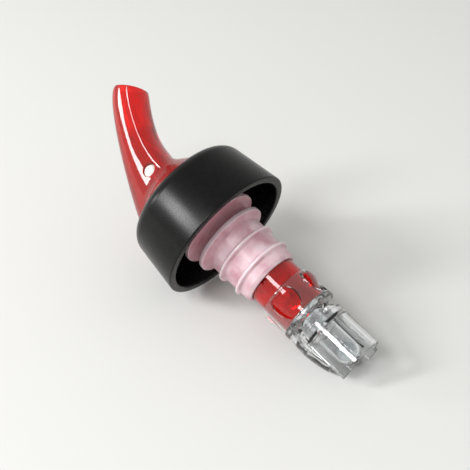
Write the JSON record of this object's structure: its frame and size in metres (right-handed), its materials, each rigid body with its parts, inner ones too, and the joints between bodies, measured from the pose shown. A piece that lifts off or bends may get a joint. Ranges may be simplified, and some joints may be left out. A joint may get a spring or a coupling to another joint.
{
  "type": "measured liquor pourer",
  "caption": "Measured pourer for a spirits bottle: a ribbed neck stopper under a collar, a bent spout with a vent, and a metering tube with a ball valve and a slotted cage.",
  "frame": {"origin": "on the pourer's axis, in the plane where the stopper's flange rests on the bottle's lip", "axes": "+Z along the axis up through the spout, +X the way the spout bends"},
  "size_m": [0.038, 0.038, 0.0961],
  "materials": {
    "red_clear_plastic": "gloss",
    "black_plastic": "satin",
    "milky_soft_plastic": "satin",
    "clear_plastic": "gloss",
    "steel_ball": "polished",
    "white_plastic": "gloss"
  },
  "bodies": {
    "pourer": {"spout_body": "red_clear_plastic", "collar": "black_plastic", "stopper": "milky_soft_plastic", "snap_sleeve": "clear_plastic", "ball_cage": "clear_plastic"},
    "shutoff": {"shutoff_ball": "steel_ball"},
    "timing": {"timing_ball": "steel_ball"},
    "vent": {"vent_ball": "white_plastic"}
  },
  "joints": [
    {"name": "shutoff_rise", "type": "slide", "parent": "pourer", "child": "shutoff", "axis": [0, 0, 1], "range_m": [0, 0.03923]},
    {"name": "timing_rise", "type": "slide", "parent": "pourer", "child": "timing", "axis": [0, 0, 1], "range_m": [0, 0.00585]},
    {"name": "vent_slide", "type": "slide", "parent": "pourer", "child": "vent", "axis": [0, -0.9613, 0.2756], "range_m": [0, 0.0004]}
  ]
}
